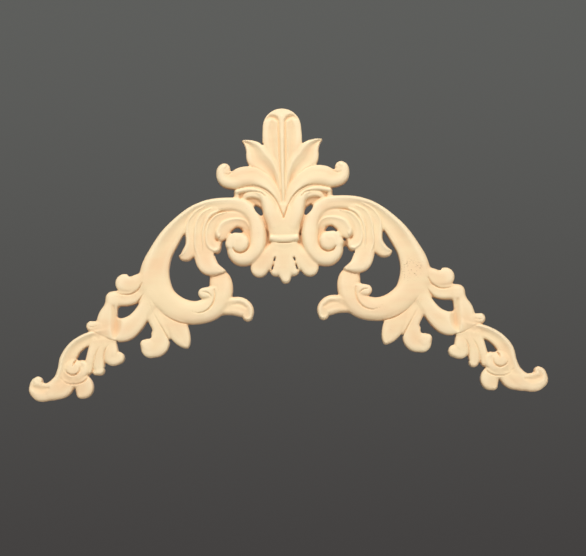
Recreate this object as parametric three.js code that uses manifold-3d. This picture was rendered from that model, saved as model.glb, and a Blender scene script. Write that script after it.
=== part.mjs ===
// Carved wooden corner onlay: a crest of leaves between two scrolling arms that run down to curled tails.
// X runs to the right, Z up and the carved front faces -Y. The flat back lies on y = 0.
// The origin is on the line of symmetry, just above the collar, where the back is fixed to furniture.

import * as THREE from 'three';
import { mergeVertices } from 'three/addons/utils/BufferGeometryUtils.js';
import Module from 'manifold-3d';

// Driving dimensions in mm
const WIDTH = 300;
const THICKNESS = 9.6;

// The carving below is drawn at this width and thickness, and follows the driving dimensions
const DRAWN_WIDTH = 300;
const DRAWN_THICKNESS = 9.6;
const SCALE = WIDTH / DRAWN_WIDTH;
const RISE = THICKNESS / DRAWN_THICKNESS;

// How a stroke of carving is faceted
const LONGEST_FACET = 20;
const LARGEST_TURN = THREE.MathUtils.degToRad(38);
const BROAD_STROKE = 8;
const SMALL_STROKE = 3.5;
const NARROW_STROKE = 3.05;
const BROAD_END_ANGLES = [0.45, 0.9, 1.35];
const END_ANGLES = [0.6, 1.25];
const SMALL_END_ANGLES = [1.1];
const SIDES = [1, -1];

// What is cut away at the back, and how far a cutter stands proud of the carved front
const BACK_ALLOWANCE = 3;
const FRONT_ALLOWANCE = 4;

// Cross-sections of a stroke: heights as shares of its crown, from the right edge to the left edge of its travel
const SECTIONS = {
  dome: [0.72, 0.91, 0.98, 1, 0.98, 0.91, 0.72],
  bead: [0.68, 0.88, 0.97, 1, 0.97, 0.88, 0.68],
  flat: [0.8, 0.97, 1, 1, 1, 0.97, 0.8],
  rimmed: [0.72, 0.8, 0.8, 0.82, 0.88, 1, 0.76],
  leaf: [0.74, 0.9, 0.83, 0.82, 0.9, 1, 0.76],
  curl: [0.74, 0.93, 1, 0.97, 0.89, 0.93, 0.76],
  turned: [0.76, 1, 0.9, 0.88, 0.92, 0.93, 0.72],
};

// Floors of a cutter: 0 at the depth that its stations give, 1 above the carving
const GROOVES = {
  valley: [1, 0.54, 0.19, 0, 0.19, 0.54, 1],
  flute: [1, 0.28, 0.03, 0, 0.11, 0.33, 0.62],
};

const wasm = await Module();
wasm.setup();

/** Height share of a section at a place across the stroke, -1 to 1, mixed with a second section. */
function sectionShare(stroke, across, mix) {
  const read = (shares) => {
    const place = THREE.MathUtils.clamp((across + 1) / 2, 0, 1) * (shares.length - 1);
    const index = Math.min(Math.floor(place), shares.length - 2);
    return THREE.MathUtils.lerp(shares[index], shares[index + 1], place - index);
  };
  const first = read(stroke.section);
  return stroke.second ? THREE.MathUtils.lerp(first, read(stroke.second), mix) : first;
}

/** Places along a stroke where it needs a cross-section: more where it bends, fewer where it runs straight. */
function stepsAlong(curve, count) {
  const steps = [0];
  for (let station = 0; station < count - 1; station += 1) {
    const start = station / (count - 1);
    const end = (station + 1) / (count - 1);
    const turn = flat(curve.getTangent(start + 1e-4)).angleTo(flat(curve.getTangent(end - 1e-4)));
    const length = flat(curve.getPoint(start)).distanceTo(flat(curve.getPoint(end)));
    const parts = Math.max(1, Math.ceil(turn / LARGEST_TURN), Math.ceil(length / LONGEST_FACET));
    for (let part = 1; part <= parts; part += 1) {
      steps.push(THREE.MathUtils.lerp(start, end, part / parts));
    }
  }
  return steps;
}

/** The x and z of a point whose third number is a half-width. */
function flat(point) {
  return new THREE.Vector2(point.x, point.y);
}

/** Value of one column of the stations at a place along the stroke. */
function columnAt(stations, column, along) {
  const place = along * (stations.length - 1);
  const index = Math.min(Math.floor(place), Math.max(stations.length - 2, 0));
  const next = Math.min(index + 1, stations.length - 1);
  return THREE.MathUtils.lerp(stations[index][column] ?? 0, stations[next][column] ?? 0, place - index);
}

/** Angles at which a rounded end has its cross-sections. */
function endAngles(half) {
  if (half < SMALL_STROKE) {
    return SMALL_END_ANGLES;
  }
  return half < BROAD_STROKE ? END_ANGLES : BROAD_END_ANGLES;
}

/** Cross-section frames of a stroke, with both ends rounded like a thumb nail. */
function framesOf(stations) {
  const points = stations.map(([x, z, half]) => new THREE.Vector3(x, z, half));
  const single = points.length === 1;
  const curve = single ? null : new THREE.CatmullRomCurve3(points, false, 'centripetal');
  const body = (single ? [0] : stepsAlong(curve, points.length)).map((along) => {
    const point = single ? points[0] : curve.getPoint(along);
    const before = single ? new THREE.Vector2(0, 0) : flat(curve.getPoint(Math.max(along - 1e-3, 0)));
    const after = single ? new THREE.Vector2(0, 1) : flat(curve.getPoint(Math.min(along + 1e-3, 1)));
    return {
      centre: flat(point),
      heading: after.sub(before).normalize(),
      half: point.z,
      angle: 0,
      crown: columnAt(stations, 3, along),
      mix: columnAt(stations, 4, along),
    };
  });
  const roundedEnd = (frame, way) => {
    return endAngles(frame.half).map((angle) => ({
      ...frame,
      centre: frame.centre.clone().addScaledVector(frame.heading, way * frame.half * Math.sin(angle)),
      half: frame.half * Math.cos(angle),
      angle,
    }));
  };
  return [...roundedEnd(body[0], -1).reverse(), ...body, ...roundedEnd(body.at(-1), 1)];
}

/** Height of a stroke's surface at a place across one of its frames. */
function surfaceHeight(stroke, frame, across, side) {
  const reach = Math.hypot(across * Math.cos(frame.angle), Math.sin(frame.angle));
  const middle = Math.abs(across) < 1e-6;
  const shareAt = (place) => sectionShare(stroke, place * side, frame.mix);
  const share = middle ? (shareAt(reach) + shareAt(-reach)) / 2 : shareAt(Math.sign(across) * reach);
  if (stroke.cuts) {
    return THREE.MathUtils.lerp(frame.crown, DRAWN_THICKNESS, share) * RISE;
  }
  return frame.crown * share * RISE;
}

/** How many facets a stroke has from edge to edge: two make a ridge, three a round back, four hold a rim. */
function facetsAcross(stroke) {
  const widest = Math.max(...stroke.stations.map((station) => station[2]));
  if (stroke.section === SECTIONS.flat || widest < NARROW_STROKE) {
    return 2;
  }
  return stroke.section === SECTIONS.dome && !stroke.second ? 3 : 4;
}

/** Closed solid of a stroke: a box bent along its stations, with its front face shaped by its section. */
function strokeSolid(stroke, side) {
  const frames = framesOf(stroke.stations);
  const across = facetsAcross(stroke);
  const geometry = new THREE.BoxGeometry(1, 1, 1, frames.length - 1, 1, across);
  geometry.deleteAttribute('normal');
  geometry.deleteAttribute('uv');
  const position = geometry.attributes.position;
  for (let index = 0; index < position.count; index += 1) {
    const frame = frames[Math.round((position.getX(index) + 0.5) * (frames.length - 1))];
    const place = -2 * position.getZ(index);
    const heading = new THREE.Vector2(frame.heading.x * side, frame.heading.y);
    const x = frame.centre.x * side - heading.y * frame.half * place;
    const z = frame.centre.y + heading.x * frame.half * place;
    position.setXYZ(index, x * SCALE, -depthOf(stroke, frame, place, side, position.getY(index) > 0), z * SCALE);
  }
  return toManifold(geometry);
}

/** How far a corner of the bent box stands in front of the back plane. */
function depthOf(stroke, frame, place, side, onFront) {
  if (stroke.through) {
    return onFront ? THICKNESS + FRONT_ALLOWANCE : -BACK_ALLOWANCE;
  }
  if (stroke.cuts) {
    return onFront ? THICKNESS + FRONT_ALLOWANCE : surfaceHeight(stroke, frame, place, side);
  }
  return onFront ? surfaceHeight(stroke, frame, place, side) : -BACK_ALLOWANCE;
}

/** Solid of a closed geometry. */
function toManifold(geometry) {
  const merged = mergeVertices(geometry, 1e-5);
  return new wasm.Manifold(new wasm.Mesh({
    numProp: 3,
    vertProperties: Float32Array.from(merged.attributes.position.array),
    triVerts: Uint32Array.from(merged.index.array),
  }));
}

/** Geometry of a solid. */
function toGeometry(solid) {
  const mesh = solid.getMesh();
  const geometry = new THREE.BufferGeometry();
  geometry.setAttribute('position', new THREE.BufferAttribute(Float32Array.from(mesh.vertProperties), 3));
  geometry.setIndex(new THREE.BufferAttribute(Uint32Array.from(mesh.triVerts), 1));
  geometry.computeVertexNormals();
  return geometry;
}

/** A raised stroke on both sides of the onlay. Stations are [x, z, half-width, crown height]. */
const raised = (section, stations) => ({ section: SECTIONS[section], stations, sides: SIDES });

/** A raised stroke on the line of symmetry. */
const central = (section, stations) => ({ section: SECTIONS[section], stations, sides: [1] });

/** A raised stroke that changes from one section to another. Its stations have the share of the second last. */
const changing = (section, second, stations) => ({
  ...raised(section, stations),
  second: SECTIONS[second],
});

/** A groove cut into what is already there. Its stations have the height of its floor last. */
const groove = (section, stations) => ({ section: GROOVES[section], stations, sides: SIDES, cuts: true });

/** A hole sawn right through. Stations are [x, z, half-width]. */
const pierced = (stations) => ({ section: SECTIONS.flat, stations, sides: SIDES, cuts: true, through: true });

/** The tall fluted leaf on the axis, with its midrib and the pointed leaf beside it. */
function crestLeaf() {
  return [
    central('dome', [
      [0, 61.8, 11.4, 8.2], [0, 57, 11.5, 8.2], [0, 53, 11.2, 8], [0, 47, 8, 7.6],
      [0, 40, 5.4, 7.2], [0, 30, 3.6, 7], [0, 20, 2.3, 6.8], [0, 12, 0.8, 6.5],
    ]),
    groove('flute', [
      [5.8, 65.2, 3.3, 6], [6, 60, 3.8, 6.3], [5.6, 52, 3.6, 6.3], [4.3, 44, 2.5, 6.3],
      [3.4, 36, 1.7, 6.3], [2.7, 28, 1.1, 6.3], [2, 20, 0.6, 6.3],
    ]),
    central('bead', [[0, 68, 1.9, 8.5], [0, 50, 1.8, 8.3], [0, 30, 1.6, 8], [0, 12, 0.9, 7.4]]),
    raised('leaf', [
      [2.5, 27, 1.2, 6.8], [5.5, 35, 3.4, 7.2], [10, 41, 6, 7.5], [13.8, 44.5, 6.9, 7.6],
      [15.8, 49, 5.3, 7.6], [18.6, 52.2, 3.1, 7.4], [21.2, 54.2, 1.4, 7], [22.9, 55, 0.5, 6.8],
    ]),
  ];
}

/** The vase-shaped calyx, and the low ground that joins it to the scrolls. */
function calyx() {
  return [
    central('dome', [
      [0, 24, 3, 6.6], [0, 20, 7, 7.4], [0, 15, 10.2, 8.2], [0, 8, 10.3, 8.6], [0, 3, 9.2, 8.4], [0, -2, 8, 8],
    ]),
    raised('flat', [[12, 17.5, 3, 5.8], [14, 20.5, 4.5, 5.8], [20, 22.5, 3.6, 5.8], [25, 23.4, 3.1, 5.8]]),
    raised('flat', [[12.2, 14, 2.2, 5.4], [11.6, 10, 2.2, 5], [10.2, 3, 2.2, 2.8], [9.8, -5, 2.4, 3.2]]),
  ];
}

/** Low ground behind the volute and the fan of leaves. */
function fanGround() {
  return [
    raised('flat', [[22, 4.5, 2.4, 6.2], [20.8, -3, 2.6, 6.2], [23, -9, 2.5, 6.2]]),
    raised('flat', [[24, 10.5, 3.4, 6.9], [36, 11, 3.8, 6.9], [42.5, 3, 4.5, 6.9], [43.5, -2, 4, 6.9]]),
    raised('flat', [[46, 11, 5.5, 7], [49, 0, 6.5, 7]]),
    raised('flat', [[50, 10, 4.5, 7], [54, 3.5, 3, 7]]),
    raised('flat', [[38, -1.5, 2.6, 6.4], [39.6, -7, 2.5, 6.6]]),
  ];
}

/** Leaves and lobes that spring from under the big scroll. */
function scrollLeaves() {
  return [
    raised('dome', [[67, -45.5, 5.5, 6.6], [62.5, -53.5, 6.3, 7.1], [60, -58.3, 5, 7.1], [58, -62, 2.4, 6.8]]),
    raised('dome', [
      [78, -40, 5, 6.8], [75.5, -47, 5.2, 7.1], [73, -54, 4.8, 7.4], [74.3, -61.7, 6.5, 7.5], [78.7, -64, 5.4, 7.4],
    ]),
    raised('dome', [[83.5, -32, 4.6, 6.9], [90, -35, 3.9, 7.2], [96, -34.9, 4.4, 7.4], [99.8, -35, 4.1, 7.5]]),
    raised('dome', [[80, -25, 5, 7.6], [85, -26, 4.8, 7.6], [89, -27.5, 4.6, 7.6], [92.6, -26.6, 5.5, 7.7]]),
    raised('dome', [[99.6, -35.5, 4, 7.4], [101.2, -40.5, 4.1, 7.6], [103.1, -46, 5.5, 7.6], [104.5, -51, 5.4, 7.4]]),
    raised('dome', [[108, -51, 3, 7.2], [112.4, -50.7, 3, 7.2]]),
    raised('flat', [[97, -50, 3.6, 6.6], [103, -53, 6, 6.6], [109, -58, 4.5, 6.6]]),
    raised('turned', [
      [36, -41, 4, 7.2], [30, -40.1, 5.2, 7.4], [25.7, -40.9, 5.5, 7.5], [22.6, -43.1, 4.3, 7.5], [22, -46.1, 3.1, 7.3],
    ]),
  ];
}

/** The big scroll: from the volute over the top, down the arm, round the loop and up to the cuff. */
function bigScroll() {
  return [
    changing('dome', 'rimmed', [
      [30.6, -5, 3.3, 9.3, 0], [30.2, -10.3, 3.8, 9.3, 0], [26.5, -13.7, 4.4, 9.3, 0], [21, -13, 4.8, 9.3, 0],
      [16.6, -8, 4.8, 9.2, 0], [15.3, -1, 4.8, 9, 0], [16, 6.5, 4.6, 8.8, 0], [19.3, 13.3, 4.3, 8.5, 0.1],
      [24.5, 17.1, 4.3, 8.3, 0.3], [32, 18.3, 3.8, 8.2, 0.6], [42, 17.3, 4.1, 8.3, 0.9], [50, 14.8, 4, 8.4, 1],
      [56, 11.7, 4.5, 8.5, 1], [61.3, 5.3, 5.3, 8.5, 1], [66.3, -1.3, 6.3, 8.5, 1], [71.4, -9.8, 7, 8.5, 0.7],
      [75, -19, 8.3, 8.4, 0.4], [75.3, -28, 9.2, 8.3, 0.1], [70, -35.8, 7.7, 8.2, 0], [61, -42, 7.2, 8.2, 0],
      [51, -43.6, 6.7, 8.2, 0], [42.3, -40.5, 6.9, 8.2, 0], [37, -33.5, 6.6, 8.1, 0], [37.2, -27, 6.5, 7.9, 0],
      [38.6, -23, 4.8, 7.4, 0],
    ]),
  ];
}

/** The stem that leaves the big scroll, and the lobes and scroll of the tail. */
function tail() {
  return [
    raised('dome', [[77, -34, 5, 7.6], [82, -42.5, 4.5, 7.9], [87, -49, 5.3, 8], [93, -53, 6.4, 8], [99, -54.6, 5.2, 7.9]]),
    raised('dome', [[110.5, -59.5, 2.5, 7.2], [112.3, -66, 2.6, 7.5], [113.8, -72, 2.5, 7.4], [114.3, -75.8, 2.3, 7.3]]),
    raised('dome', [[106.5, -60, 3, 7.2], [108, -66, 3.2, 7.5], [108.8, -72, 3.7, 7.4], [108.6, -75.6, 3, 7.1]]),
    raised('dome', [[103, -60, 4.5, 7.2], [101.8, -65.5, 4.3, 7.5], [101, -68.5, 4.5, 7.4]]),
    raised('dome', [[100, -68.5, 4.2, 7.3], [97, -68.5, 3.2, 7.1]]),
    raised('dome', [[123, -82.5, 3, 7.2], [118, -83, 4.6, 7.5], [117, -86.2, 5.1, 7.4]]),
    raised('dome', [[117, -87, 4.2, 7.2], [119.3, -89.5, 2.2, 7]]),
    raised('dome', [[124, -82.5, 2.5, 7.2], [129, -86, 4.7, 7.4], [135, -87.3, 5, 7.6]]),
    raised('flat', [[118, -74.5, 2.5, 6.2], [120, -78, 2.5, 6.2], [126, -78, 2.5, 6.2], [125.6, -72.5, 2.6, 6.2]]),
    changing('dome', 'rimmed', [
      [103, -55, 4.8, 7.5, 0.4], [109, -56.5, 4.2, 7.7, 0.8], [116.3, -58.4, 3.9, 7.8, 1], [122.8, -62.6, 4.2, 7.9, 1],
      [127.2, -69, 4.6, 8, 1], [129.1, -75.5, 4.1, 8, 1], [131.5, -81.5, 4.4, 7.8, 0.6], [137, -87, 4.8, 7.8, 0.2],
      [142.7, -87.6, 5.5, 7.6, 0], [145.2, -86.6, 5.1, 7.4, 0],
    ]),
    raised('dome', [[146, -86, 4.2, 7.4], [146.1, -83, 3.3, 7.4], [145, -81.3, 2.4, 7.3]]),
    raised('bead', [
      [128.5, -76, 3, 7.8], [126, -79.8, 2.3, 7.8], [121.5, -80.2, 2, 7.8], [117.5, -78, 2.1, 7.8],
      [115.9, -74, 2.1, 7.7], [117.2, -71.8, 1.7, 7.6], [120.5, -71.4, 1.3, 7.5],
    ]),
    raised('dome', [[123.3, -74.5, 3.9, 8]]),
  ];
}

/** The stem that rises from the cuff, and the fan of leaves that opens from it inside the arm. */
function fanOfLeaves() {
  return [
    raised('dome', [[41.5, -31.5, 2.5, 7.8], [45, -32.8, 3.3, 8], [47.2, -33, 3.1, 7.9]]),
    raised('dome', [[46.5, -4, 6, 7.4], [46.4, -12, 5.9, 7.8], [44.6, -16.3, 5.6, 8], [42, -18.3, 4.3, 8.1]]),
    raised('bead', [[35, -20, 1, 7.9], [39, -20.8, 2, 8.4], [43.4, -21.4, 1.5, 8.1]]),
    raised('rimmed', [
      [45.5, 17, 0.8, 8.1], [51, 13, 1.6, 8.3], [54.5, 7.5, 2, 8.2], [54.7, 1.5, 2.4, 8.1],
      [54.4, -5, 2.9, 8], [56.5, -9.9, 3.6, 7.8], [60, -11.3, 2.2, 7.5], [62.4, -10.8, 0.5, 7.2],
    ]),
    raised('rimmed', [
      [42, 15.5, 1, 8], [46.5, 12.5, 1.8, 8.2], [49.3, 7.5, 2.2, 8.3], [50.2, 1, 2.4, 8.2],
      [50.2, -6, 2.6, 8], [48.5, -12, 2.2, 7.7],
    ]),
    raised('bead', [[38, 14.2, 0.8, 7.9], [42.5, 12, 1.1, 8.2], [45.6, 7, 1.2, 8.3], [47, 1, 1, 8.2], [46.9, -8, 0.8, 7.9]]),
    raised('rimmed', [
      [34, 12.8, 0.8, 7.5], [38.5, 10.8, 1.8, 7.9], [42.3, 6, 2.4, 8.1], [43.6, 0, 2.6, 8.1],
      [42.3, -5, 3.2, 8.1], [40.3, -6.6, 3.2, 7.9],
    ]),
    raised('rimmed', [[20.6, 4, 1.5, 7.2], [23.5, 6.6, 2.9, 7.6], [28.5, 7.3, 3.4, 8], [33.8, 5.2, 4.2, 8.3], [36, 1.7, 4.3, 8.3]]),
  ];
}

/** The button at the heart of the volute. */
function voluteEye() {
  return [
    raised('bead', [[31, -5, 3.1, 9.3], [29.4, -1.6, 2.9, 9.4], [26, -1.1, 2.3, 9.3]]),
    raised('dome', [[25.8, -4.3, 5, 9.6]]),
  ];
}

/** The lobed skirt below the calyx and the collar between them. */
function skirt() {
  return [
    raised('dome', [[6.5, -8, 3.5, 7], [10, -13.5, 4.6, 7.7], [14.6, -19.1, 5.1, 7.4]]),
    raised('dome', [[5, -14, 2.6, 7.5], [5.8, -20.6, 2.9, 7.2]]),
    central('dome', [[0, -7, 7.5, 8], [0, -14, 6.4, 8.2], [0, -20, 4.6, 8], [0, -24.8, 3.5, 7.4]]),
    central('bead', [[-7, -2.5, 1.7, 9.1], [0, -3, 1.9, 9.4], [7, -2.5, 1.7, 9.1]]),
  ];
}

/** The leaf that curls out above each scroll, with the hood folded under it. */
function curlingLeaf() {
  return [
    raised('curl', [
      [1.5, 13, 1, 7.6], [3.6, 20.5, 2.6, 8.1], [6.8, 26.2, 3.7, 8.3], [11, 30.5, 4.7, 8.4],
      [17, 33.8, 5.8, 8.4], [23.3, 33.8, 5.9, 8.4], [28.5, 32.3, 5.1, 8.2], [33.6, 33.8, 4.7, 8.2],
    ]),
    raised('dome', [[33.6, 33.8, 4.4, 8.1], [34.6, 37.6, 3.9, 8.1], [34, 38.6, 3.5, 8]]),
    raised('bead', [
      [26.3, 26.2, 1.3, 8.2], [20, 27.1, 1.6, 8.7], [14, 26.1, 1.6, 8.8], [9.3, 22.8, 1.5, 8.8],
      [5.6, 17.2, 1.3, 8.7], [3, 12.5, 0.9, 8.5],
    ]),
    raised('bead', [[10.3, 19.5, 0.7, 7.6], [12.5, 22.8, 0.9, 7.9], [17.5, 24.5, 1, 7.9], [21.5, 23.8, 0.9, 7.8], [24, 21.3, 0.7, 7.5]]),
    raised('dome', [[26.8, 25.5, 1.4, 7.6], [26.9, 22.5, 1.6, 7.2]]),
  ];
}

/** Grooves, deep gaps and sawn holes, cut last. */
function cuts() {
  return [
    groove('valley', [
      [23.8, 2.2, 0.5, 6.4], [21.3, 0, 0.8, 6.2], [20.2, -4, 0.9, 6.2], [21.4, -8, 0.9, 6.2],
      [25, -10.1, 0.9, 6.4], [28.3, -9.4, 0.8, 6.8], [29.9, -7.4, 0.5, 7.6],
    ]),
    groove('valley', [[11.8, 9.5, 0.6, 5], [10.4, 4.5, 0.9, 3], [9.3, 0, 1.1, 2], [9.4, -4.5, 0.9, 3]]),
    groove('valley', [[29.6, 36.6, 0.5, 6.4], [32, 35.4, 0.9, 6.9], [33.8, 36, 0.7, 7.4]]),
    groove('valley', [
      [40.8, -31.5, 0.6, 7.6], [41, -36, 1, 7.2], [42.8, -40.2, 1, 7.1], [46.5, -43.3, 0.9, 7.2], [52, -44, 0.6, 7.8],
    ]),
    pierced([[13.1, 12.3, 1.1], [14.5, 14.5, 1.8], [15.9, 16.2, 1.3]]),
    pierced([[24.2, 2.3, 0.5], [26, 3, 1], [28, 2.9, 1.1], [30.3, 1.4, 0.5]]),
    pierced([[5.3, -13.4, 0.4], [6, -15.2, 0.6]]),
    pierced([[6.8, -18, 0.4], [7.3, -20, 0.6]]),
  ];
}

/** Joins or cuts every stroke in order, then trims the back to one plane. */
function carve(strokes) {
  let solid = null;
  for (const stroke of strokes) {
    for (const side of stroke.sides) {
      const piece = strokeSolid(stroke, side);
      if (solid === null) {
        solid = piece;
      } else {
        solid = stroke.cuts ? solid.subtract(piece) : solid.add(piece);
      }
    }
  }
  const behind = new THREE.BoxGeometry(2 * WIDTH, 2 * BACK_ALLOWANCE, 2 * WIDTH);
  behind.deleteAttribute('normal');
  behind.deleteAttribute('uv');
  behind.translate(0, BACK_ALLOWANCE, 0);
  return solid.subtract(toManifold(behind));
}

const wood = new THREE.MeshStandardMaterial({ color: 0xf3dcb4, roughness: 0.7, metalness: 0 });
const onlaySolid = carve([
  ...crestLeaf(), ...calyx(), ...fanGround(), ...scrollLeaves(), ...bigScroll(), ...tail(),
  ...fanOfLeaves(), ...voluteEye(), ...skirt(), ...curlingLeaf(), ...cuts(),
]);

const onlay = new THREE.Mesh(toGeometry(onlaySolid), wood);
onlay.name = 'corner_onlay';

const part = new THREE.Group();
part.add(onlay);

export default part;
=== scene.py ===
"""Looks of a carved wooden corner onlay: one piece of pale bare wood, and the plain studio it is shown in.

The carving is drawn as strokes. A stroke runs through a few stations, each with its place, its half-width
and the height of its crown, and it has a cross-section from edge to edge. Raised strokes flow together,
grooves are cut into them, and sawn holes go right through. All strokes are in mm, seen from the front.
"""

import logging
import math
from dataclasses import dataclass
from enum import Enum

import bmesh
import bpy
import numpy as np
from mathutils import Matrix, Vector, noise
from mathutils.geometry import intersect_line_line_2d
from mathutils.kdtree import KDTree


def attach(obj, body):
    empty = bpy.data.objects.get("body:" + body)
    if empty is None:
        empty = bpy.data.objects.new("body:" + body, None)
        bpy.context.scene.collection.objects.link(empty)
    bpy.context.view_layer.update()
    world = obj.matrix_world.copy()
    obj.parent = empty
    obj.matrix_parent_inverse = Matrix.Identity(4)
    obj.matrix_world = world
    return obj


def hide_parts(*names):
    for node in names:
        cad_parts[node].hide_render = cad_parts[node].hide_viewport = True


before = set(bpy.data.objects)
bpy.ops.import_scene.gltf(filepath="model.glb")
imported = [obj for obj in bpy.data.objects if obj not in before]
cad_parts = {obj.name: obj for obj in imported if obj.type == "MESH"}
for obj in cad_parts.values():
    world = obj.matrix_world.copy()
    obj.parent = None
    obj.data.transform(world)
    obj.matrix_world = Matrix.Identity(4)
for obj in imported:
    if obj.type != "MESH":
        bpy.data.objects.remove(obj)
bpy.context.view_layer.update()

LOG = logging.getLogger("onlay")
MM = 0.001
# The height, in mm, that the sides of every groove rise to.
TOP_OF_CARVING = 9.6

# Numbers in a full station: x, z, half-width, crown, and the second section's share.
STATION_SIZE = 5
# These two keep the curve's sums from dividing by nothing.
SHORTEST_GAP = 1e-4
SHORTEST_STEP = 1e-9
# The least half-width of a stroke, in mm.
NARROWEST_STROKE = 0.05
# A distance beyond any on the onlay.
FAR_AWAY = 1e6
# The strength of each finer octave of noise, as a share of the one before.
OCTAVE_SHARE = 0.55
# How far a face of the flat sheet may lean. The Y of its direction is -1 when it lies flat.
UNTURNED = -0.9
# The mesh attribute that the finish reads.
RECESS = "recess"
# The sockets that the Mix node has for colours.
MIX_FACTOR = 0
MIX_FIRST = 6
MIX_SECOND = 7
MIX_RESULT = 2

Array = np.ndarray
Station = tuple[float, ...]
Colour = tuple[float, float, float, float]
Place = tuple[float, float, float]


class Side(Enum):
    """Which sides a stroke is carved on, as signs of x. One on the axis is carved once."""

    RIGHT = (1,)
    LEFT = (-1,)
    BOTH = (1, -1)


class Action(Enum):
    """What a stroke does to the wood."""

    RAISE = "raise"
    CUT = "cut"
    PIERCE = "pierce"


class Section(Enum):
    """Cross-sections, from the right edge to the left edge of the travel.

    Those of raised strokes are shares of the crown's height. The valley is for grooves, and its shares run
    from 0 at the floor to 1 at the top of the carving.
    """

    DOME = (0.80, 0.94, 0.99, 1.0, 0.99, 0.94, 0.80)
    PAD = (0.90, 0.98, 1.0, 1.0, 1.0, 0.98, 0.90)
    FLAT = (0.80, 0.97, 1.0, 1.0, 1.0, 0.97, 0.80)
    RIMMED = (0.82, 0.86, 0.85, 0.86, 0.92, 1.0, 0.90)
    OVERLAP = (0.84, 0.90, 0.92, 0.93, 0.96, 1.0, 0.84)
    BLADE = (0.86, 0.90, 0.84, 0.83, 0.91, 1.0, 0.92)
    CURL = (0.84, 0.96, 1.0, 0.98, 0.94, 0.92, 0.88)
    TURNED = (0.84, 0.98, 0.95, 0.92, 0.93, 0.94, 0.84)
    VALLEY = (1.0, 0.54, 0.19, 0.0, 0.19, 0.54, 1.0)


def smooth_larger(first: Array, second: Array, softness: float) -> Array:
    """The larger of two fields, with the crease between them filled.

    Args:
        first: one field.
        second: the other field.
        softness: difference, in mm, under which the two flow together.

    Returns:
        The joined field.
    """
    overlap = np.clip(softness - np.abs(first - second), 0.0, None)
    return np.maximum(first, second) + overlap * overlap / (4.0 * softness)


def smooth_share(shares: tuple[float, ...], across: Array) -> Array:
    """Reads a cross-section at places from -1 to 1 with a smooth curve through its shares.

    Args:
        shares: evenly spaced shares of the crown.
        across: places across the stroke.

    Returns:
        The share at each place.
    """
    values = np.array(shares)
    place = (np.clip(across, -1.0, 1.0) + 1.0) / 2.0 * (len(values) - 1)
    index = np.minimum(place.astype(int), len(values) - 2)
    part = place - index
    slopes = np.gradient(values)
    start, end = values[index], values[index + 1]
    bend_in = slopes[index] - (end - start)
    bend_out = (end - start) - slopes[index + 1]
    return start + (end - start) * part + part * (1.0 - part) * (bend_in * (1.0 - part) + bend_out * part)


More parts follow.
